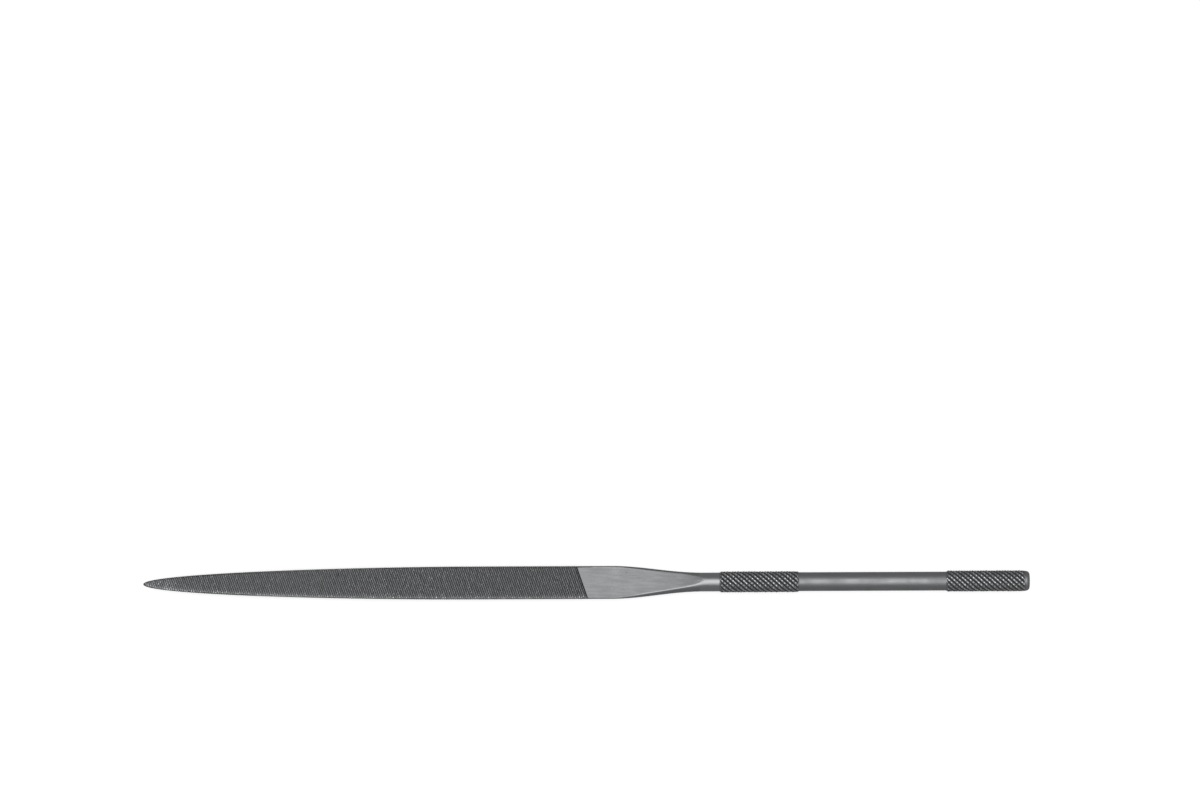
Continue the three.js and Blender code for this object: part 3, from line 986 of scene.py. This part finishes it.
def side_map(faces, across, offset):
    """Each corner's place: its distance along its half of the blade, and across the side from offset."""
    corners = blade_points[faces]
    second = (corners[..., 0].mean(1) - TIP_X > HALF_LENGTH)[:, None]
    u = corners[..., 0] - TIP_X - HALF_LENGTH * second + TOOTH_PITCH
    v = corners[..., across] - (AXIS_Z if across == 2 else 0) + offset + row_height * second
    return np.stack([u / map_width, v / map_height], -1)


def end_map(faces, shift):
    """A small disc in the top row, from the corners' y and z."""
    corners = blade_points[faces]
    u = shift + corners[..., 1] + BLADE_HALF_WIDTH
    v = 2 * row_height + side_height["edge"] + corners[..., 2] - AXIS_Z
    return np.stack([u / map_width, v / map_height], -1)


face_offset = side_height["face"] / 2
edge_offset = side_height["face"] + side_height["edge"] / 2
blade_maps = [
    side_map(blade_faces[0], 1, face_offset),
    side_map(blade_faces[1], 2, edge_offset),
    side_map(blade_faces[2], 1, face_offset + row_height / 2),
    side_map(blade_faces[3], 2, edge_offset + row_height / 2),
    end_map(nose, 0.0),
    end_map(back, 3 * BLADE_HALF_WIDTH),
]
make_piece("toothed_blade", "cut_blade", blade_points, blade_faces, blade_maps,
           {"height": blade_marks}, [cut_steel, ground_steel], finish_of=ground,
           flat=[~g for g in ground])

# %% [markdown]
# ## Studio
# A plain pale floor and one large softbox above, as for a catalogue. Steel shows mostly what it mirrors,
# so the softbox's size sets how wide the shank's highlight is, and the grey of the world sets how dark its
# sides are. A real softbox is brighter in front of its bulb, so a smaller lamp just below it makes its
# middle. The floor gives some light of its own, so that it stays pale and the file's shadow soft, but the
# steel doesn't mirror it.

# %% Floor
FLOOR_SIZE = 6.0
PAPER = (0.86, 0.86, 0.86, 1)
PAPER_GLOW = 0.62

mesh = bpy.data.meshes.new("floor")
half = FLOOR_SIZE / 2
corners = [(-half, -half, 0), (half, -half, 0), (half, half, 0), (-half, half, 0)]
mesh.from_pydata(corners, [], [(0, 1, 2, 3)])
floor = bpy.data.objects.new("floor", mesh)
bpy.context.scene.collection.objects.link(floor)
paper = bpy.data.materials.new("pale_paper")
paper.use_nodes = True
shader = paper.node_tree.nodes["Principled BSDF"]
shader.inputs["Base Color"].default_value = PAPER
shader.inputs["Roughness"].default_value = 0.9
shader.inputs["Specular IOR Level"].default_value = 0.0
shader.inputs["Emission Color"].default_value = (1, 1, 1, 1)
shader.inputs["Emission Strength"].default_value = PAPER_GLOW
mesh.materials.append(paper)
floor.visible_glossy = False
floor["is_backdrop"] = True
print(f"floor {FLOOR_SIZE} m square")

# %% World: grey to the steel, pale to the camera
MIRRORED_GREY = (0.27, 0.27, 0.275, 1)
SEEN_PALE = (0.97, 0.97, 0.97, 1)

world = bpy.data.worlds.new("studio")
bpy.context.scene.world = world
world.use_nodes = True
tree = world.node_tree
grey = tree.nodes["Background"]
grey.inputs["Color"].default_value = MIRRORED_GREY
pale = tree.nodes.new("ShaderNodeBackground")
pale.inputs["Color"].default_value = SEEN_PALE
seen = tree.nodes.new("ShaderNodeLightPath")
choose = tree.nodes.new("ShaderNodeMixShader")
tree.links.new(seen.outputs["Is Camera Ray"], choose.inputs["Fac"])
tree.links.new(grey.outputs[0], choose.inputs[1])
tree.links.new(pale.outputs[0], choose.inputs[2])
tree.links.new(choose.outputs[0], tree.nodes["World Output"].inputs["Surface"])
print("world:", len(tree.nodes), "nodes")


# %% Softbox and its bright middle
def add_softbox(name, size, place, watts):
    """A square area light that looks straight down."""
    lamp = bpy.data.lights.new(name, "AREA")
    lamp.shape, lamp.size, lamp.energy = "SQUARE", size, watts
    softbox = bpy.data.objects.new(name, lamp)
    softbox.location = place
    bpy.context.scene.collection.objects.link(softbox)
    print(f"{name}: {size} m wide at {place} m, {watts} W")


add_softbox("softbox", size=1.15, place=(0.17, 0.09, 0.85), watts=3.3)
add_softbox("bright_middle", size=0.50, place=(0.04, 0.11, 0.84), watts=0.63)

# %% [markdown]
# ## Camera
# The file is seen from straight above through a long lens, so that it looks as it does in a catalogue,
# with hardly any perspective. It lies low in the view and a little left of the middle, and the camera
# is turned by a fraction of a degree, as a file laid down by hand is never quite level.

# %% Camera
LENS = 200
VIEW_WIDTH = 0.217
ASIDE, ABOVE = 2.6 * MM, 32.04 * MM
ROLL = math.radians(-0.23)

camera_data = bpy.data.cameras.new("camera")
camera_data.lens = LENS
camera = bpy.data.objects.new("camera", camera_data)
camera.location = (ASIDE, ABOVE, VIEW_WIDTH * LENS / camera_data.sensor_width)
camera.rotation_euler = (0, 0, ROLL)
bpy.context.scene.collection.objects.link(camera)
bpy.context.scene.camera = camera
bpy.context.scene.view_settings.view_transform = "Standard"
print(f"camera {camera.location.z:.3f} m above the floor")

# %% Compare the finished model's box with the design's, and finish
sizes = {"cad": design_box, "visual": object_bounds()}
for key, box in sizes.items():
    print(key, [[round(v / MM, 3) for v in corner] for corner in box])
